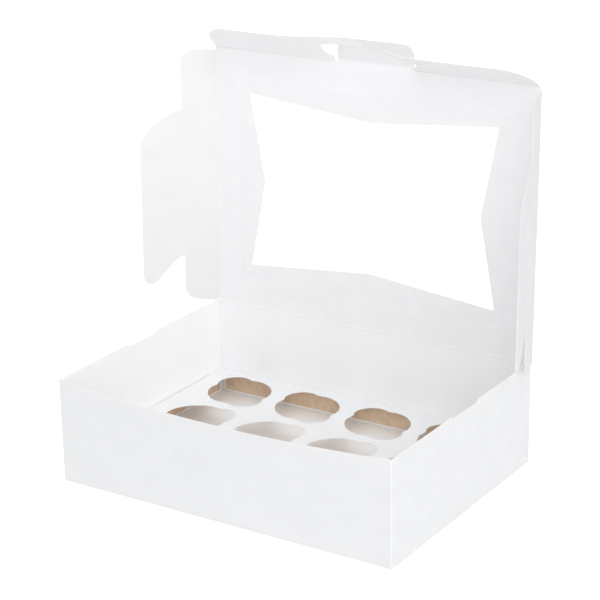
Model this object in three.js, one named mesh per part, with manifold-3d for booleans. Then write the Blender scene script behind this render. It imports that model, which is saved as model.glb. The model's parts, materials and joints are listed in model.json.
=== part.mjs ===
// A twelve-cup window cake box of folded white paperboard, standing open.
// Units are millimetres, +Z is up and +Y runs from the front wall to the back wall.
// The origin is the middle of the underside of the tray.

import * as THREE from "three";
import { mergeVertices } from "three/addons/utils/BufferGeometryUtils.js";
import Module from "manifold-3d";

// Driving dimensions of the tray
const boxLength = 356;
const boxDepth = 260;
const wallHeight = 102;
const boardThickness = 0.5;
const frontDipDepth = 8;
const frontDipInset = 3;
const sideRecessLength = 53;
const sideRecessDepth = 2.5;
const sideRecessRamp = 4;
const lockSlitWidth = 0.8;
const lockSlitDepth = 19;
const lockSlitFromBack = 84;
const glueFlapWidth = 22;
const glueFlapTopInset = 1.5;
const cornerFoldRadius = 1.5;

// Clearances
const pieceGap = 0.3;
const frontFoldClearance = 0.5;

// Driving dimensions of the lid
const lidOpenAngle = 91.5;
const tabWidth = 84;
const tabLength = 24;
const tabShift = 5.5;
const tabCornerRadius = 12;
const windowTopHalf = 137;
const windowWaistHalf = 120;
const windowEdgeMargin = 42.3;
const windowMidMargin = 55.5;
const windowCornerRadius = 2.5;

// Driving dimensions of the flaps on the lid
const frontFlapAngle = 48;
const frontFlapAngleRight = 59.5;
const frontFlapAngleMiddle = 37;
const frontFlapMiddle = -8;
const frontFlapLeftBend = -125;
const frontFlapRightBend = 58;
const leftFlapAngle = 25;
const rightFlapAngle = 75;
const frontFlapWidth = 35;
const frontFlapEndInset = 1;
const frontFlapCornerRadius = 26;
const frontFlapColumns = 40;
const thumbCutClearance = 0.8;
const thumbCutLobeReach = 9.5;
const thumbCutLobeStart = 9;
const thumbCutLobeMiddle = 19;
const thumbCutLobeRise = 2;
const sideFlapRootWidth = 35;
const sideFlapFullWidth = 78.5;
const sideFlapEndInset = 3;
const sideFlapBackOverhang = 2.5;
const sideFlapEndRadius = 15;
const sideFlapShoulderStart = 63;
const sideFlapShoulderLength = 47;
const sideFlapHookStart = 12;
const sideFlapHookLength = 32;
const sideFlapTipRadius = 7;

// Driving dimensions of the window film
const filmThickness = 0.2;
const filmMargin = 12;

// Driving dimensions of the cupcake insert
const insertHeight = 25;
const cupColumns = 4;
const cupRows = 3;
const cupColumnMargin = 56.8;
const cupRowMargin = 52;
const cupWebWidth = 9.4;
const cupShiftX = -3.2;
const cupShiftY = 7;
const legCornerGap = 3;

const whiteBoard = new THREE.MeshStandardMaterial({ color: 0xf4f4f4, roughness: 0.6, metalness: 0 });
const clearFilm = new THREE.MeshStandardMaterial({ color: 0xffffff, roughness: 0.08, metalness: 0 });
const kraftBoard = new THREE.MeshStandardMaterial({ color: 0xe9e6e2, roughness: 0.75, metalness: 0 });

const wasm = await Module();
wasm.setup();

// Turns a closed geometry into a solid that can be cut and joined.
function toSolid(geometry) {
  const bare = geometry.clone();
  for (const name of Object.keys(bare.attributes)) {
    if (name !== "position") bare.deleteAttribute(name);
  }
  const merged = mergeVertices(bare, 1e-4);
  return new wasm.Manifold(new wasm.Mesh({
    numProp: 3,
    vertProperties: new Float32Array(merged.attributes.position.array),
    triVerts: new Uint32Array(merged.index.array),
  }));
}

// Turns a solid back into a geometry with flat faces.
function toGeometry(solid) {
  const mesh = solid.getMesh();
  const geometry = new THREE.BufferGeometry();
  geometry.setAttribute("position", new THREE.BufferAttribute(mesh.vertProperties, 3));
  geometry.setIndex(new THREE.BufferAttribute(mesh.triVerts, 1));
  geometry.computeVertexNormals();
  return geometry;
}

// A block given by its lowest and highest corners.
function block(low, high) {
  const size = high.map((value, axis) => value - low[axis]);
  const geometry = new THREE.BoxGeometry(...size);
  geometry.translate(...low.map((value, axis) => value + size[axis] / 2));
  return toSolid(geometry);
}

// A sheet of board cut to an outline in the XY plane, with its underside at z = 0.
function sheet(outline, thickness, curveSegments = 12) {
  return toSolid(new THREE.ExtrudeGeometry(outline, {
    depth: thickness,
    bevelEnabled: false,
    curveSegments,
  }));
}

// Joins a list of solids into one.
function joined(solids) {
  return solids.reduce((whole, piece) => whole.add(piece));
}

function namedMesh(name, solid, material) {
  const mesh = new THREE.Mesh(toGeometry(solid), material);
  mesh.name = name;
  return mesh;
}

// A closed outline through points, with each corner rounded.
function roundedOutline(points, radius, Kind) {
  const outline = new Kind();
  points.forEach((corner, index) => {
    const before = points[(index + points.length - 1) % points.length];
    const after = points[(index + 1) % points.length];
    const start = corner.clone().add(before.clone().sub(corner).setLength(radius));
    const end = corner.clone().add(after.clone().sub(corner).setLength(radius));
    if (index === 0) outline.moveTo(start.x, start.y);
    else outline.lineTo(start.x, start.y);
    outline.quadraticCurveTo(corner.x, corner.y, end.x, end.y);
  });
  outline.closePath();
  return outline;
}

const halfLength = boxLength / 2;
const halfDepth = boxDepth / 2;

// A rectangle about the origin with round corners.
function roundedRectangle(halfX, halfY, radius) {
  const outline = new THREE.Shape();
  outline.absarc(halfX - radius, halfY - radius, radius, 0, Math.PI / 2);
  outline.absarc(radius - halfX, halfY - radius, radius, Math.PI / 2, Math.PI);
  outline.absarc(radius - halfX, radius - halfY, radius, Math.PI, 1.5 * Math.PI);
  outline.absarc(halfX - radius, radius - halfY, radius, 1.5 * Math.PI, 2 * Math.PI);
  outline.closePath();
  return outline;
}

// The tray is one folded blank: a floor, four walls that meet at rounded folds, and the
// glue flaps of the front and back walls, which are stuck to the side walls inside.
function trayFrontDip() {
  const dip = new THREE.Shape();
  const reach = halfLength - frontDipInset;
  dip.moveTo(-reach, wallHeight);
  dip.quadraticCurveTo(0, wallHeight - 2 * frontDipDepth, reach, wallHeight);
  dip.lineTo(reach, wallHeight + frontDipDepth);
  dip.lineTo(-reach, wallHeight + frontDipDepth);
  const cutter = new THREE.ExtrudeGeometry(dip, {
    depth: 4 * boardThickness,
    bevelEnabled: false,
    curveSegments: 32,
  });
  cutter.rotateX(Math.PI / 2);
  cutter.translate(0, -halfDepth + 2.5 * boardThickness, 0);
  return toSolid(cutter);
}

function traySideRecess(side) {
  const recess = new THREE.Shape();
  const half = sideRecessLength / 2;
  recess.moveTo(-half + sideRecessRamp, wallHeight - sideRecessDepth);
  recess.lineTo(half - sideRecessRamp, wallHeight - sideRecessDepth);
  recess.lineTo(half, wallHeight + sideRecessDepth);
  recess.lineTo(-half, wallHeight + sideRecessDepth);
  const cutter = new THREE.ExtrudeGeometry(recess, { depth: 4 * boardThickness, bevelEnabled: false });
  cutter.rotateX(Math.PI / 2);
  cutter.rotateZ(Math.PI / 2);
  cutter.translate(side * halfLength - 2 * boardThickness, 0, 0);
  return toSolid(cutter);
}

function trayLockSlit(side) {
  const middle = halfDepth - lockSlitFromBack;
  const face = side * halfLength;
  return block(
    [face - 2 * boardThickness, middle - lockSlitWidth / 2, wallHeight - lockSlitDepth],
    [face + 2 * boardThickness, middle + lockSlitWidth / 2, wallHeight + sideRecessDepth],
  );
}

function trayGlueFlap(side, end) {
  const wallInside = side * (halfLength - boardThickness);
  const flapInside = wallInside - side * boardThickness;
  const corner = end * (halfDepth - cornerFoldRadius);
  const reach = corner - end * glueFlapWidth;
  return block(
    [Math.min(wallInside, flapInside), Math.min(corner, reach), 0],
    [Math.max(wallInside, flapInside), Math.max(corner, reach), wallHeight - glueFlapTopInset],
  );
}

function makeTray() {
  const outer = roundedRectangle(halfLength, halfDepth, cornerFoldRadius);
  const inner = roundedRectangle(
    halfLength - boardThickness,
    halfDepth - boardThickness,
    cornerFoldRadius - boardThickness,
  );
  const hollow = sheet(inner, wallHeight, 3).translate([0, 0, boardThickness]);
  let tray = sheet(outer, wallHeight, 3).subtract(hollow).subtract(trayFrontDip());
  for (const side of [-1, 1]) {
    tray = tray.subtract(traySideRecess(side)).subtract(trayLockSlit(side));
    for (const end of [-1, 1]) tray = tray.add(trayGlueFlap(side, end));
  }
  return tray;
}

// The lid and its flaps are drawn flat, with x along the back fold, y running from the
// back fold to the front of the lid, and the inner face of the board at z = 0.
const lidReach = boxDepth + pieceGap + frontFoldClearance;
const windowMiddle = lidReach / 2;

function windowPoints() {
  const high = lidReach - windowEdgeMargin;
  const low = windowEdgeMargin;
  return [
    new THREE.Vector2(-windowTopHalf, low),
    new THREE.Vector2(0, windowMidMargin),
    new THREE.Vector2(windowTopHalf, low),
    new THREE.Vector2(windowWaistHalf, windowMiddle),
    new THREE.Vector2(windowTopHalf, high),
    new THREE.Vector2(0, lidReach - windowMidMargin),
    new THREE.Vector2(-windowTopHalf, high),
    new THREE.Vector2(-windowWaistHalf, windowMiddle),
  ];
}

// The middle of the tab along the fold. The drawing of the lid is seen from outside, so a
// tab shifted to the right of the box lies at negative x.
const tabMiddle = -tabShift;

function makeLidPanel() {
  const outline = new THREE.Shape();
  const tabLeft = tabMiddle - tabWidth / 2;
  const tabRight = tabMiddle + tabWidth / 2;
  const tabTop = lidReach + tabLength;
  const radius = tabCornerRadius;
  outline.moveTo(-halfLength, 0);
  outline.lineTo(halfLength, 0);
  outline.lineTo(halfLength, lidReach);
  outline.lineTo(tabRight, lidReach);
  outline.absarc(tabRight - radius, tabTop - radius, radius, 0, Math.PI / 2);
  outline.absarc(tabLeft + radius, tabTop - radius, radius, Math.PI / 2, Math.PI);
  outline.lineTo(tabLeft, lidReach);
  outline.lineTo(-halfLength, lidReach);
  outline.closePath();
  outline.holes.push(roundedOutline(windowPoints(), windowCornerRadius, THREE.Path));
  return sheet(outline, boardThickness);
}

function makeWindowFilm() {
  const halfWidth = windowTopHalf + filmMargin;
  const low = windowEdgeMargin - filmMargin;
  return block(
    [-halfWidth, low, -pieceGap - filmThickness],
    [halfWidth, lidReach - low, -pieceGap],
  );
}

// One end of the thumb cut, a small lobe beside the tab. Side is 1 or -1, and the points
// run from the fold to the top of the cut, or back.
function thumbCutLobe(outline, side, outwards) {
  const inner = tabMiddle + side * (tabWidth / 2 + thumbCutClearance);
  const outer = inner + side * thumbCutLobeReach;
  const top = tabLength + thumbCutClearance;
  const topStart = inner - side * thumbCutLobeReach / 2;
  if (outwards) {
    outline.lineTo(inner, 0);
    outline.lineTo(inner, thumbCutLobeStart);
    outline.quadraticCurveTo(outer, thumbCutLobeStart + thumbCutLobeRise, outer, thumbCutLobeMiddle);
    outline.quadraticCurveTo(outer, top, topStart, top);
  } else {
    outline.lineTo(topStart, top);
    outline.quadraticCurveTo(outer, top, outer, thumbCutLobeMiddle);
    outline.quadraticCurveTo(outer, thumbCutLobeStart + thumbCutLobeRise, inner, thumbCutLobeStart);
    outline.lineTo(inner, 0);
  }
}

// How far the front flap is folded at a place along the box. It is steady at the left,
// springs back towards the thumb cut, and is folded further on the right.
function frontFlapFold(place) {
  if (place <= frontFlapMiddle) {
    const share = THREE.MathUtils.smoothstep(place, frontFlapLeftBend, frontFlapMiddle);
    return THREE.MathUtils.lerp(frontFlapAngle, frontFlapAngleMiddle, share * share);
  }
  const share = THREE.MathUtils.smoothstep(place, frontFlapMiddle, frontFlapRightBend);
  return THREE.MathUtils.lerp(frontFlapAngleMiddle, frontFlapAngleRight, share);
}

// Bends a flat front flap about its fold, column by column along the box.
function bentFlap(flat, half) {
  const axis = new THREE.Vector3(1, 0, 0);
  const corner = new THREE.Vector3();
  const step = 2 * half / frontFlapColumns;
  const columns = [];
  for (let column = 0; column < frontFlapColumns; column += 1) {
    const from = column * step - half;
    const spare = boardThickness;
    const room = block([from, -spare, -spare], [from + step, frontFlapWidth + spare, 2 * spare]);
    const mesh = flat.intersect(room).getMesh();
    const places = mesh.vertProperties.slice();
    for (let index = 0; index < places.length; index += 3) {
      corner.fromArray(places, index);
      const bend = frontFlapAngle - frontFlapFold(-corner.x);
      corner.applyAxisAngle(axis, THREE.MathUtils.degToRad(bend));
      corner.toArray(places, index);
    }
    columns.push(new wasm.Manifold(new wasm.Mesh({
      numProp: 3,
      vertProperties: places,
      triVerts: mesh.triVerts,
    })));
  }
  return joined(columns);
}

// The front flap is drawn with its fold at y = 0, and then bent. The thumb cut at the fold
// is the place that the tab of the lid was cut from.
function makeFrontFlap() {
  const half = halfLength - frontFlapEndInset;
  const radius = frontFlapCornerRadius;
  const cutLeft = tabMiddle - tabWidth / 2 - thumbCutClearance;
  const outline = new THREE.Shape();
  outline.moveTo(-half, 0);
  outline.lineTo(cutLeft, 0);
  thumbCutLobe(outline, -1, true);
  thumbCutLobe(outline, 1, false);
  outline.lineTo(half, 0);
  outline.lineTo(half, frontFlapWidth - radius);
  outline.absarc(half - radius, frontFlapWidth - radius, radius, 0, Math.PI / 2);
  outline.absarc(radius - half, frontFlapWidth - radius, radius, Math.PI / 2, Math.PI);
  outline.closePath();
  return bentFlap(sheet(outline, boardThickness, 8), half);
}

// A side flap is drawn with its fold along x = 0 and y as on the lid. It grows towards
// +x or -x, as side says.
function makeSideFlap(side) {
  const low = -sideFlapBackOverhang;
  const high = lidReach - sideFlapEndInset;
  const shoulderTop = lidReach - sideFlapShoulderStart;
  const shoulderBottom = shoulderTop - sideFlapShoulderLength;
  const hookTop = sideFlapHookStart + sideFlapHookLength;
  const root = side * sideFlapRootWidth;
  const full = side * sideFlapFullWidth;
  const step = full - root;
  const tip = side * sideFlapTipRadius;
  const end = side * sideFlapEndRadius;
  const outline = new THREE.Shape();
  outline.moveTo(0, low);
  outline.lineTo(root - end, low);
  outline.quadraticCurveTo(root, low, root, low + sideFlapEndRadius);
  outline.lineTo(root, hookTop);
  outline.bezierCurveTo(
    root + 0.25 * step, hookTop - 0.1 * sideFlapHookLength,
    root + 0.5 * step, sideFlapHookStart + 0.25 * sideFlapHookLength,
    full - 1.7 * tip, sideFlapHookStart,
  );
  outline.quadraticCurveTo(
    full - 0.3 * tip, sideFlapHookStart - 0.5 * sideFlapTipRadius,
    full, sideFlapHookStart + sideFlapTipRadius,
  );
  outline.lineTo(full, shoulderBottom);
  outline.bezierCurveTo(
    full, shoulderBottom + 0.5 * sideFlapShoulderLength,
    root + 0.35 * step, shoulderTop - 0.15 * sideFlapShoulderLength,
    root, shoulderTop,
  );
  outline.lineTo(root, high - sideFlapEndRadius);
  outline.quadraticCurveTo(root, high, root - 1.6 * end, high);
  outline.lineTo(0, high);
  outline.closePath();
  return sheet(outline, boardThickness, 16);
}

// The insert is a cut sheet standing on four folded legs, with open corners.
// The outer cup holes keep their margins to the tray's ends, and the others are spread
// between them. The web is the least board that is left between two neighbours.
const cupPitchX = (boxLength - 2 * cupColumnMargin) / (cupColumns - 1);
const cupPitchY = (boxDepth - 2 * cupRowMargin) / (cupRows - 1);
const cupReach = (Math.min(cupPitchX, cupPitchY) - cupWebWidth) / 2;

// Parts of a cup hole's reach: where its notches are, and how its lobes curve
const notchPart = { reach: 0.904, slide: 0.175 };
const longLobePart = { near: 0.641, far: 1.224 };
const shortLobePart = { near: 0.408, far: 1.122 };

// Each cup hole has four lobes between four notches. The lobes on one diagonal reach
// further than the lobes on the other, and flip is 1 or -1 for which diagonal that is.
function cupHole(x, y, flip) {
  const reach = notchPart.reach * cupReach;
  const slide = notchPart.slide * cupReach;
  const longNear = longLobePart.near * cupReach;
  const longFar = longLobePart.far * cupReach;
  const shortNear = shortLobePart.near * cupReach;
  const shortFar = shortLobePart.far * cupReach;
  const hole = new THREE.Path();
  hole.moveTo(x - flip * slide, y + reach);
  for (const half of [1, -1]) {
    const across = half * flip;
    hole.bezierCurveTo(
      x - across * longNear, y + half * longFar,
      x - across * longFar, y + half * longNear,
      x - across * reach, y + half * slide,
    );
    hole.bezierCurveTo(
      x - across * shortFar, y - half * shortNear,
      x - across * shortNear, y - half * shortFar,
      x + across * slide, y - half * reach,
    );
  }
  return hole;
}

function makeInsert() {
  const outX = halfLength - 2 * boardThickness - pieceGap;
  const outY = halfDepth - boardThickness - pieceGap;
  const foot = boardThickness + pieceGap;
  const under = insertHeight - boardThickness;
  const top = new THREE.Shape();
  top.moveTo(-outX, -outY);
  top.lineTo(outX, -outY);
  top.lineTo(outX, outY);
  top.lineTo(-outX, outY);
  top.closePath();
  for (let column = 0; column < cupColumns; column += 1) {
    for (let row = 0; row < cupRows; row += 1) {
      const x = (column - (cupColumns - 1) / 2) * cupPitchX + cupShiftX;
      const y = (row - (cupRows - 1) / 2) * cupPitchY + cupShiftY;
      top.holes.push(cupHole(x, y, row % 2 === 0 ? 1 : -1));
    }
  }
  const pieces = [sheet(top, boardThickness, 8).translate([0, 0, under])];
  for (const side of [-1, 1]) {
    const x = side * outX;
    const y = side * outY;
    const innerX = x - side * boardThickness;
    const innerY = y - side * boardThickness;
    pieces.push(block(
      [Math.min(x, innerX), -outY + legCornerGap, foot],
      [Math.max(x, innerX), outY - legCornerGap, under],
    ));
    pieces.push(block(
      [-outX + legCornerGap, Math.min(y, innerY), foot],
      [outX - legCornerGap, Math.max(y, innerY), under],
    ));
  }
  return joined(pieces);
}

const box = new THREE.Group();
box.add(namedMesh("tray", makeTray(), whiteBoard));
box.add(namedMesh("cupcake_insert", makeInsert(), kraftBoard));

// The lid hangs on the back fold. Closed, it lies on the walls with its drawing turned
// half round, and it stands open by the open angle.
const lidHinge = new THREE.Group();
lidHinge.position.set(0, halfDepth + pieceGap, wallHeight + pieceGap);
lidHinge.rotation.x = -THREE.MathUtils.degToRad(lidOpenAngle);
box.add(lidHinge);

const lid = new THREE.Group();
lid.rotation.z = Math.PI;
lidHinge.add(lid);
lid.add(namedMesh("lid_panel", makeLidPanel(), whiteBoard));
lid.add(namedMesh("window_film", makeWindowFilm(), clearFilm));

const frontFlap = namedMesh("front_tuck_flap", makeFrontFlap(), whiteBoard);
frontFlap.position.set(0, lidReach + pieceGap, 0);
frontFlap.rotation.x = -THREE.MathUtils.degToRad(frontFlapAngle);
lid.add(frontFlap);

const leftFlap = namedMesh("left_side_flap", makeSideFlap(1), whiteBoard);
leftFlap.position.set(halfLength + pieceGap, 0, 0);
leftFlap.rotation.y = THREE.MathUtils.degToRad(leftFlapAngle);
lid.add(leftFlap);

const rightFlap = namedMesh("right_side_flap", makeSideFlap(-1), whiteBoard);
rightFlap.position.set(-halfLength - pieceGap, 0, 0);
rightFlap.rotation.y = -THREE.MathUtils.degToRad(rightFlapAngle);
lid.add(rightFlap);

export default box;
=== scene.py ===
"""A window cake box of white folded board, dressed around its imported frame."""

import json
import math

import bmesh
import bpy
from mathutils import Matrix, Vector


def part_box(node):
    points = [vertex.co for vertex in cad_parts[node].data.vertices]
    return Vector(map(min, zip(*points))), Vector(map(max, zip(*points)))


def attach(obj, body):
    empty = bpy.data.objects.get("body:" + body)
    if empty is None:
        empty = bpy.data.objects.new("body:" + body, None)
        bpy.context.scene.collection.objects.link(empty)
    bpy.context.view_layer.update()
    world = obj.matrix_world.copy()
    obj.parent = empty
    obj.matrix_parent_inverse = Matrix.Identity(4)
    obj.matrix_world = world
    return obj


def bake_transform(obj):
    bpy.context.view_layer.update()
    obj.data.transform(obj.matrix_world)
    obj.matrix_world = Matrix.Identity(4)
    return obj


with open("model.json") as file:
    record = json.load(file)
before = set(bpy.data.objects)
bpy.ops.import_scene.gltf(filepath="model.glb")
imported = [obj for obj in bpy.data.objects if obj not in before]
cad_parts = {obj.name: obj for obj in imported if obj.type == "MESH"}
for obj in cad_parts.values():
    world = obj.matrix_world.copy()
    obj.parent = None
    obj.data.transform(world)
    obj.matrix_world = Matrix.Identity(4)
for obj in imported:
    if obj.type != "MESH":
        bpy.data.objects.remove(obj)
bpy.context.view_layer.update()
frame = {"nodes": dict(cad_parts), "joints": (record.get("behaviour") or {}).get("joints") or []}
nodes = frame["nodes"]
scene = bpy.context.scene
MM = 0.001

# Sizes that the frame gives
tray_high = Vector(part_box("tray")[1])
insert_low, insert_high = (Vector(corner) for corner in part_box("cupcake_insert"))
folds = {joint["name"]: joint for joint in frame["joints"]}
BOARD = 0.5 * MM

# Camera, found by fitting the tray's corners to the photograph
PHOTO_SIDE = 600
SENSOR_WIDTH = 36.0
FOCAL_PIXELS = 1981.6
CAMERA_TURN = math.radians(33.026)
CAMERA_DROP = math.radians(19.611)
CAMERA_ROLL = math.radians(1.040)
# The tray's origin as the camera sees it: right, down and away
ORIGIN_SEEN = Vector((-1.72, 161.55, 1876.62)) * MM


def make_camera():
    """A camera whose right, down and forward rows come from the turn, the drop and the roll."""
    right = Vector((math.cos(CAMERA_TURN), math.sin(CAMERA_TURN), 0))
    level = Vector((-math.sin(CAMERA_TURN), math.cos(CAMERA_TURN), 0))
    forward = level * math.cos(CAMERA_DROP) - Vector((0, 0, math.sin(CAMERA_DROP)))
    down = forward.cross(right)
    rolled_right = right * math.cos(CAMERA_ROLL) + down * math.sin(CAMERA_ROLL)
    rolled_down = down * math.cos(CAMERA_ROLL) - right * math.sin(CAMERA_ROLL)
    place = -(rolled_right * ORIGIN_SEEN.x + rolled_down * ORIGIN_SEEN.y + forward * ORIGIN_SEEN.z)
    data = bpy.data.cameras.new("camera")
    data.sensor_width = SENSOR_WIDTH
    data.lens = FOCAL_PIXELS / PHOTO_SIDE * SENSOR_WIDTH
    data.clip_end = 50
    camera = bpy.data.objects.new("camera", data)
    turn = Matrix((rolled_right, -rolled_down, -forward)).transposed()
    camera.matrix_world = Matrix.Translation(place) @ turn.to_4x4()
    scene.collection.objects.link(camera)
    scene.camera = camera


# Materials


class Nodes:
    """A material's node tree, with short calls to add and join nodes."""

    def __init__(self, name):
        self.material = bpy.data.materials.new(name)
        self.material.use_nodes = True
        self.tree = self.material.node_tree
        self.shader = self.tree.nodes["Principled BSDF"]
        self.output = self.tree.nodes["Material Output"]

    def add(self, kind, **settings):
        node = self.tree.nodes.new("ShaderNode" + kind)
        for key, value in settings.items():
            setattr(node, key, value)
        return node

    def join(self, source, target):
        self.tree.links.new(source, target)

    def feed(self, value, socket):
        """Links a socket, or sets a plain number."""
        if isinstance(value, (int, float)):
            socket.default_value = value
        else:
            self.join(value, socket)

    def math(self, operation, first, second=0.0):
        node = self.add("Math", operation=operation)
        self.feed(first, node.inputs[0])
        self.feed(second, node.inputs[1])
        return node.outputs[0]

    def noise(self, place, scale, detail=2):
        node = self.add("TexNoise")
        node.inputs["Scale"].default_value = scale
        node.inputs["Detail"].default_value = detail
        self.join(place, node.inputs["Vector"])
        return node.outputs[0]

    def smooth(self, value, low, high):
        """0 below low and 1 above high, or the other way round when low is above high."""
        node = self.add("MapRange", interpolation_type="SMOOTHSTEP")
        self.join(value, node.inputs["Value"])
        node.inputs["From Min"].default_value = min(low, high)
        node.inputs["From Max"].default_value = max(low, high)
        node.inputs["To Min"].default_value = 0.0 if low < high else 1.0
        node.inputs["To Max"].default_value = 1.0 if low < high else 0.0
        return node.outputs[0]

    def ramp(self, source, stops):
        ramp = self.add("ValToRGB")
        elements = ramp.color_ramp.elements
        for extra in stops[2:]:
            elements.new(extra[0])
        for element, (place, colour) in zip(elements, stops):
            element.position = place
            element.color = (*colour, 1)
        self.join(source, ramp.inputs[0])
        return ramp.outputs[0]

    def blend(self, factor, first, second):
        """A mix of two colours, each a socket or a plain colour."""
        node = self.add("Mix", data_type="RGBA")
        self.feed(factor, node.inputs["Factor"])
        for value, socket in ((first, node.inputs[6]), (second, node.inputs[7])):
            if isinstance(value, tuple):
                socket.default_value = (*value, 1)
            else:
                self.join(value, socket)
        return node.outputs[2]

    def bump(self, height, strength, distance, under=None):
        node = self.add("Bump")
        node.inputs["Strength"].default_value = strength
        node.inputs["Distance"].default_value = distance
        self.join(height, node.inputs["Height"])
        if under is not None:
            self.join(under, node.inputs["Normal"])
        return node.outputs[0]


# Each board's darker and lighter shade, which a faint mottle mixes. Several stand in for light: some
# panels' whites are painted lighter or darker to make up for how much light falls on them
# Painted light: the tray's and front flap's insides are made whiter than the lid's to make up for the light
# they lack
PAINTED_LIGHT_WHITE = ((0.945, 0.947, 0.955), (0.957, 0.959, 0.966))
INSIDE_WHITE = ((0.902, 0.904, 0.913), (0.920, 0.922, 0.929))
# The insert's top white: partly a greyer board of its own, partly painted shade against the light from
# above
INSERT_BOARD_AND_SHADE_WHITE = ((0.860, 0.863, 0.868), (0.880, 0.883, 0.888))
# Painted shade: the left flap's inside is made greyer than the other insides
PAINTED_SHADE_FLAP_WHITE = ((0.840, 0.842, 0.845), (0.858, 0.860, 0.863))
# The outside's greyer white: partly the coated side's own tone, partly painted shade that tones down the
# lit outer walls
OUTSIDE_COAT_AND_SHADE_WHITE = ((0.812, 0.815, 0.824), (0.832, 0.835, 0.843))
KRAFT = ((0.71, 0.55, 0.40), (0.83, 0.65, 0.485))
# Pale cut edge at the legs' feet, also painted light at the legs' ends where light comes through the corner
# gaps
CUT_EDGE_AND_GAP_LIGHT = (0.97, 0.95, 0.93)
# Painted shade along the tray's creases
CREASE_SHADE_GREY = (0.60, 0.61, 0.63)

# How coarse each pattern is, as the scale of its noise
BOARD_MOTTLE = 45
KRAFT_MOTTLE = 160
FIBRES = 900
SWELL = 14
FILM_RIPPLE = 9


def mottled(sheet, place, shades, scale=BOARD_MOTTLE):
    """A very faint mottle between two shades."""
    return sheet.ramp(sheet.noise(place, scale, 5), [(0.35, shades[0]), (0.65, shades[1])])


def paper_surface(sheet, place, roughness, fibre_strength):
    """Fine fibres and a faint swell of the sheet, with a soft satin sheen."""
    fibres = sheet.noise(place, FIBRES, 4)
    swell = sheet.noise(place, SWELL, 1)
    fine = sheet.bump(fibres, fibre_strength, 0.05 * MM)
    sheet.join(sheet.bump(swell, 0.04, 1.2 * MM, fine), sheet.shader.inputs["Normal"])
    sheet.shader.inputs["Roughness"].default_value = roughness
    sheet.shader.inputs["Specular IOR Level"].default_value = 0.35


def facing_out(sheet, place, outwards):
    """1 where a face looks outwards, which is away from the box's upright axis where None is given."""
    normal = sheet.add("TexCoord").outputs["Normal"]
    turn = sheet.add("VectorMath", operation="DOT_PRODUCT")
    sheet.join(normal, turn.inputs[0])
    if outwards is None:
        flat = sheet.add("VectorMath", operation="MULTIPLY")
        flat.inputs[1].default_value = (1, 1, 0)
        sheet.join(place, flat.inputs[0])
        sheet.join(flat.outputs[0], turn.inputs[1])
    else:
        turn.inputs[1].default_value = outwards
    return sheet.math("GREATER_THAN", turn.outputs["Value"], 0.0)


def crease(sheet, place, start, end, core, edge):
    """1 within the core of a straight crease between two points, and 0 beyond its edge."""
    start, end = Vector(start) * MM, Vector(end) * MM
    along = (end - start).normalized()
    offset = sheet.add("VectorMath", operation="SUBTRACT")
    sheet.join(place, offset.inputs[0])
    offset.inputs[1].default_value = start
    run = sheet.add("VectorMath", operation="DOT_PRODUCT")
    sheet.join(offset.outputs[0], run.inputs[0])
    run.inputs[1].default_value = along
    held = sheet.math("MINIMUM", sheet.math("MAXIMUM", run.outputs["Value"], 0.0), (end - start).length)
    foot = sheet.add("VectorMath", operation="SCALE")
    foot.inputs[0].default_value = along
    sheet.join(held, foot.inputs["Scale"])
    apart = sheet.add("VectorMath", operation="DISTANCE")
    sheet.join(offset.outputs[0], apart.inputs[0])
    sheet.join(foot.outputs[0], apart.inputs[1])
    return sheet.smooth(apart.outputs["Value"], edge * MM, core * MM)


# Faint crease lines at the tray's lower back corners, drawn as painted shade, in millimetres
TRAY_CREASES = [
    ((178, 129, 3), (178, 107, 28)),
    ((-178, 129, 3), (-178, 107, 28)),
]
CREASE_CORE = 0.2
CREASE_EDGE = 1.1
CREASE_SHADE_STRENGTH = 0.25
# Painted shade on the thumb tab: its greyer white comes in over this height above its foot
TAB_SHADE_FADE = 4 * MM


def board_material(name, outwards, inside_white, creases=(), tab_foot=None):
    """White board, a little greyer on its outside, partly the coated side's tone and partly painted shade,
    with painted shade on the thumb tab and along any creases.
    """
    sheet = Nodes(name)
    place = sheet.add("TexCoord").outputs["Object"]
    outside = facing_out(sheet, place, outwards)
    if tab_foot is not None:
        height = sheet.add("SeparateXYZ")
        sheet.join(place, height.inputs[0])
        tab = sheet.smooth(height.outputs[2], tab_foot, tab_foot + TAB_SHADE_FADE)
        # The thumb tab takes the outside's greyer white as painted shade
        outside = sheet.math("MAXIMUM", outside, tab)
    colour = sheet.blend(outside, mottled(sheet, place, inside_white), mottled(sheet, place, OUTSIDE_COAT_AND_SHADE_WHITE))
    # Painted shade: each crease's line mixes grey into the board's colour
    crease_shade = None
    for start, end in creases:
        line = crease(sheet, place, start, end, CREASE_CORE, CREASE_EDGE)
        crease_shade = line if crease_shade is None else sheet.math("MAXIMUM", crease_shade, line)
    if crease_shade is not None:
        colour = sheet.blend(sheet.math("MULTIPLY", crease_shade, CREASE_SHADE_STRENGTH), colour, CREASE_SHADE_GREY)
    sheet.join(colour, sheet.shader.inputs["Base Color"])
    paper_surface(sheet, place, 0.55, 0.25)
    return sheet.material


# Pale bands on the insert's kraft: the feet of its legs by height, a real cut edge painted taller and
# brighter to stay light in the holes' shade, and the legs' ends by distance in, painted light where light
# comes through the corner gaps
FOOT_EDGE = (2.8 * MM, 2.1 * MM)
LEG_END_GAP_LIGHT = (5.6 * MM, 5.0 * MM)


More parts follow.
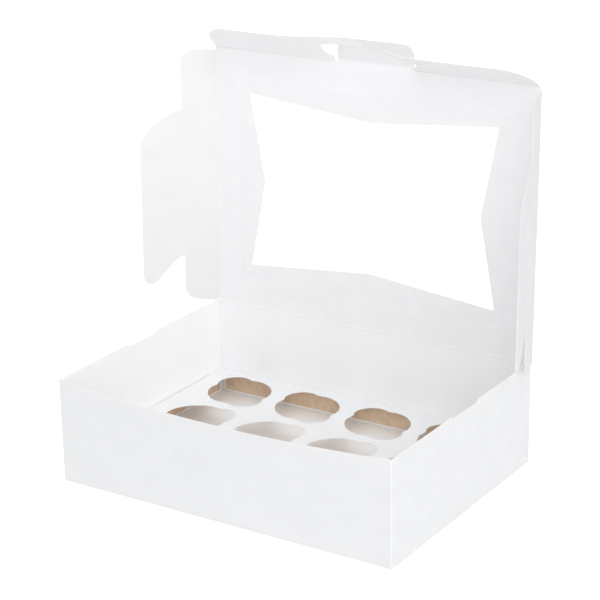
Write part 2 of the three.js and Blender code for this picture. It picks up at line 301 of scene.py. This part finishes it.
def insert_material():
    """White above and on the outside of the legs, bare kraft below and inside."""
    sheet = Nodes("kraft_backed_board")
    place = sheet.add("TexCoord").outputs["Object"]
    height = sheet.add("SeparateXYZ")
    sheet.join(place, height.inputs[0])
    facing = sheet.add("SeparateXYZ")
    sheet.join(sheet.add("TexCoord").outputs["Normal"], facing.inputs[0])
    below = sheet.math("LESS_THAN", facing.outputs[2], -0.5)
    legs = sheet.math("LESS_THAN", height.outputs[2], insert_high.z - 1.2 * BOARD)
    inwards = sheet.math("SUBTRACT", 1.0, facing_out(sheet, place, None))
    backs = sheet.math("MAXIMUM", below, sheet.math("MULTIPLY", inwards, legs))
    foot = sheet.smooth(height.outputs[2], *(insert_low.z + rise for rise in FOOT_EDGE))
    across = sheet.math("ABSOLUTE", height.outputs[0])
    deep = sheet.math("ABSOLUTE", height.outputs[1])
    ends = sheet.math(
        "MULTIPLY",
        sheet.smooth(across, *(insert_high.x - inset for inset in LEG_END_GAP_LIGHT)),
        sheet.smooth(deep, *(insert_high.y - inset for inset in LEG_END_GAP_LIGHT)),
    )
    bare = mottled(sheet, place, KRAFT, KRAFT_MOTTLE)
    # Painted light at the legs' ends, and the feet's cut edge painted brighter than it is, laid over the
    # kraft
    kraft = sheet.blend(sheet.math("MAXIMUM", foot, ends), bare, CUT_EDGE_AND_GAP_LIGHT)
    colour = sheet.blend(backs, mottled(sheet, place, INSERT_BOARD_AND_SHADE_WHITE), kraft)
    sheet.join(colour, sheet.shader.inputs["Base Color"])
    paper_surface(sheet, place, 0.7, 0.4)
    return sheet.material


def film_material():
    """Thin clear film that only shows by its sheen."""
    film = Nodes("clear_film")
    place = film.add("TexCoord").outputs["Object"]
    ripple = film.noise(place, FILM_RIPPLE)
    film.join(film.bump(ripple, 0.3, 1.0 * MM), film.shader.inputs["Normal"])
    film.shader.inputs["Base Color"].default_value = (0.95, 0.96, 0.97, 1)
    film.shader.inputs["Roughness"].default_value = 0.06
    film.shader.inputs["Alpha"].default_value = 0.007
    return film.material


# Which way each panel's outer face looks as the box stands open, and the white of its inner face, painted
# lighter on the tray and front flap and darker on the left flap to stand in for light and shade
PANELS = {
    "tray": (None, PAINTED_LIGHT_WHITE),
    "lid_panel": ((0, 1, 0), INSIDE_WHITE),
    "front_tuck_flap": ((0, 0.66, 0.75), PAINTED_LIGHT_WHITE),
    "left_side_flap": ((-0.42, 0.91, 0), PAINTED_SHADE_FLAP_WHITE),
    "right_side_flap": ((0.97, 0.26, 0), INSIDE_WHITE),
}


def dress(name, material):
    slots = nodes[name].data.materials
    slots.clear()
    slots.append(material)


for panel, (outwards, inside) in PANELS.items():
    creases = TRAY_CREASES if panel == "tray" else ()
    # The lid's painted shade on the thumb tab starts at the front fold's height
    tab_foot = folds["front_flap_fold"]["pos_m"][2] if panel == "lid_panel" else None
    dress(panel, board_material("white_board_" + panel, outwards, inside, creases, tab_foot))
dress("cupcake_insert", insert_material())
dress("window_film", film_material())


# The rounded backs of the folds, which join the panels

BEAD = 0.27 * MM
# The front fold is cut through here, on both sides of the thumb tab
TAB_SIDES = (-37.2 * MM, 48.2 * MM)
FRONT_FOLD_INSET = 1 * MM
# How far a side fold's bead runs down and up from the middle of its joint
SIDE_FOLD_DOWN, SIDE_FOLD_UP = 129 * MM, 127 * MM


def fold_bead(name, start, end, radius=BEAD):
    """A thin round bead in the middle of the lid's board, between two points of its inner face."""
    start = start + Vector((0, BOARD / 2, 0))
    end = end + Vector((0, BOARD / 2, 0))
    mesh = bpy.data.meshes.new(name)
    form = bmesh.new()
    along = end - start
    turn = along.to_track_quat("Z", "Y").to_matrix().to_4x4()
    place = Matrix.Translation((start + end) / 2) @ turn
    bmesh.ops.create_cone(
        form, cap_ends=True, segments=10, radius1=radius, radius2=radius, depth=along.length, matrix=place,
    )
    for face in form.faces:
        face.smooth = len(face.verts) == 4
    form.to_mesh(mesh)
    form.free()
    bead = bpy.data.objects.new(name, mesh)
    bead.data.materials.append(nodes["lid_panel"].data.materials[0])
    scene.collection.objects.link(bead)
    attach(bead, "lid")


# The back fold in section, as depth and height in millimetres: up its inside from the
# back wall to the lid, and down its outside
BACK_FOLD = [
    (129.46, 98.0), (129.52, 100.5), (129.72, 103.0), (130.00, 106.0), (130.25, 109.5), (130.58, 114.0),
    (131.13, 114.0), (130.95, 109.5), (130.75, 106.0), (130.50, 103.0), (130.20, 100.5), (130.04, 98.0),
]
BACK_FOLD_INSET = 0.2 * MM
# Edges whose faces meet at more than this angle are shaded sharp
SHARP_EDGE = math.radians(30)


def make_back_fold():
    """The soft fold that runs from the back wall into the lid."""
    mesh = bpy.data.meshes.new("back_fold")
    form = bmesh.new()
    half = tray_high.x - BACK_FOLD_INSET
    left_end = form.faces.new([form.verts.new((-half, y * MM, z * MM)) for y, z in BACK_FOLD])
    drawn = bmesh.ops.extrude_face_region(form, geom=[left_end])["geom"]
    far_end = [part for part in drawn if isinstance(part, bmesh.types.BMVert)]
    bmesh.ops.translate(form, vec=(2 * half, 0, 0), verts=far_end)
    bmesh.ops.recalc_face_normals(form, faces=form.faces)
    for face in form.faces:
        face.smooth = len(face.verts) == 4
    for edge in form.edges:
        edge.smooth = edge.calc_face_angle() < SHARP_EDGE
    form.to_mesh(mesh)
    form.free()
    fold = bpy.data.objects.new("back_fold", mesh)
    fold.data.materials.append(nodes["lid_panel"].data.materials[0])
    scene.collection.objects.link(fold)
    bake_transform(fold)


def make_fold_beads():
    """The beads of the three flaps' folds, with the front one broken at the thumb tab."""
    front = Vector(folds["front_flap_fold"]["pos_m"])
    outer = Vector((tray_high.x - FRONT_FOLD_INSET, 0, 0))
    tab_left, tab_right = (front + Vector((side, 0, 0)) for side in TAB_SIDES)
    fold_bead("front_fold_left", front - outer, tab_left)
    fold_bead("front_fold_right", tab_right, front + outer)
    for side in ("left", "right"):
        joint = folds[side + "_flap_fold"]
        middle = Vector(joint["pos_m"])
        along = Vector(joint["axis"]).normalized()
        if along.z < 0:
            along = -along
        fold_bead(side + "_fold", middle - along * SIDE_FOLD_DOWN, middle + along * SIDE_FOLD_UP)


make_back_fold()
make_fold_beads()


# The plain white studio


FLOOR_HALF = 6
FLOOR_WHITE = (0.9, 0.9, 0.9, 1)
FLOOR_GLOW = 0.5


def make_stage():
    """A white floor that keeps a soft shadow."""
    mesh = bpy.data.meshes.new("floor")
    form = bmesh.new()
    bmesh.ops.create_grid(form, x_segments=1, y_segments=1, size=FLOOR_HALF)
    form.to_mesh(mesh)
    form.free()
    floor = bpy.data.objects.new("floor", mesh)
    scene.collection.objects.link(floor)
    paint = Nodes("studio_floor")
    paint.shader.inputs["Base Color"].default_value = FLOOR_WHITE
    paint.shader.inputs["Roughness"].default_value = 0.9
    glow = paint.add("Emission")
    glow.inputs["Color"].default_value = (1, 1, 1, 1)
    path = paint.add("LightPath")
    seen = paint.math("MAXIMUM", path.outputs["Is Camera Ray"], path.outputs["Is Transmission Ray"])
    paint.join(paint.math("MULTIPLY", seen, FLOOR_GLOW), glow.inputs["Strength"])
    total = paint.add("AddShader")
    paint.join(paint.shader.outputs[0], total.inputs[0])
    paint.join(glow.outputs[0], total.inputs[1])
    paint.join(total.outputs[0], paint.output.inputs["Surface"])
    mesh.materials.append(paint.material)


ROOM_LIGHT = 0.53


def make_world():
    """An even room, which the camera sees as plain white."""
    world = bpy.data.worlds.new("studio")
    scene.world = world
    world.use_nodes = True
    tree = world.node_tree
    tree.nodes.clear()
    room = tree.nodes.new("ShaderNodeBackground")
    room.inputs["Color"].default_value = (0.98, 0.99, 1.0, 1)
    room.inputs["Strength"].default_value = ROOM_LIGHT
    paper = tree.nodes.new("ShaderNodeBackground")
    paper.inputs["Color"].default_value = (1, 1, 1, 1)
    paper.inputs["Strength"].default_value = 1
    path = tree.nodes.new("ShaderNodeLightPath")
    seen = tree.nodes.new("ShaderNodeMath")
    seen.operation = "MAXIMUM"
    mix = tree.nodes.new("ShaderNodeMixShader")
    out = tree.nodes.new("ShaderNodeOutputWorld")
    tree.links.new(path.outputs["Is Camera Ray"], seen.inputs[0])
    tree.links.new(path.outputs["Is Transmission Ray"], seen.inputs[1])
    tree.links.new(seen.outputs[0], mix.inputs[0])
    tree.links.new(room.outputs[0], mix.inputs[1])
    tree.links.new(paper.outputs[0], mix.inputs[2])
    tree.links.new(mix.outputs[0], out.inputs["Surface"])


# Each square lamp's name, place, the height that it aims at, side and power, in metres and watts
LAMPS = [
    ("top", (0.0, -0.45, 3.85), 0.10, 3.6, 16),
    ("right", (3.45, -0.9, 1.8), 0.15, 3.0, 43),
    ("front", (1.3, -3.2, 1.2), 0.15, 2.4, 20),
    ("upper_right", (1.95, -1.8, 3.55), 0.10, 3.0, 42),
    ("left", (-2.6, -2.2, 1.6), 0.15, 2.4, 13),
    ("back", (-1.5, 3.3, 2.3), 0.15, 2.4, 26),
]


def soft_lamp(name, place, aim_height, size, power):
    data = bpy.data.lights.new(name, "AREA")
    data.shape = "SQUARE"
    data.size = size
    data.energy = power
    lamp = bpy.data.objects.new(name, data)
    lamp.location = place
    aim = Vector((0, 0, aim_height)) - Vector(place)
    lamp.rotation_euler = aim.to_track_quat("-Z", "Y").to_euler()
    scene.collection.objects.link(lamp)


make_camera()
make_stage()
make_world()
for lamp in LAMPS:
    soft_lamp(*lamp)

scene.view_settings.view_transform = "Standard"
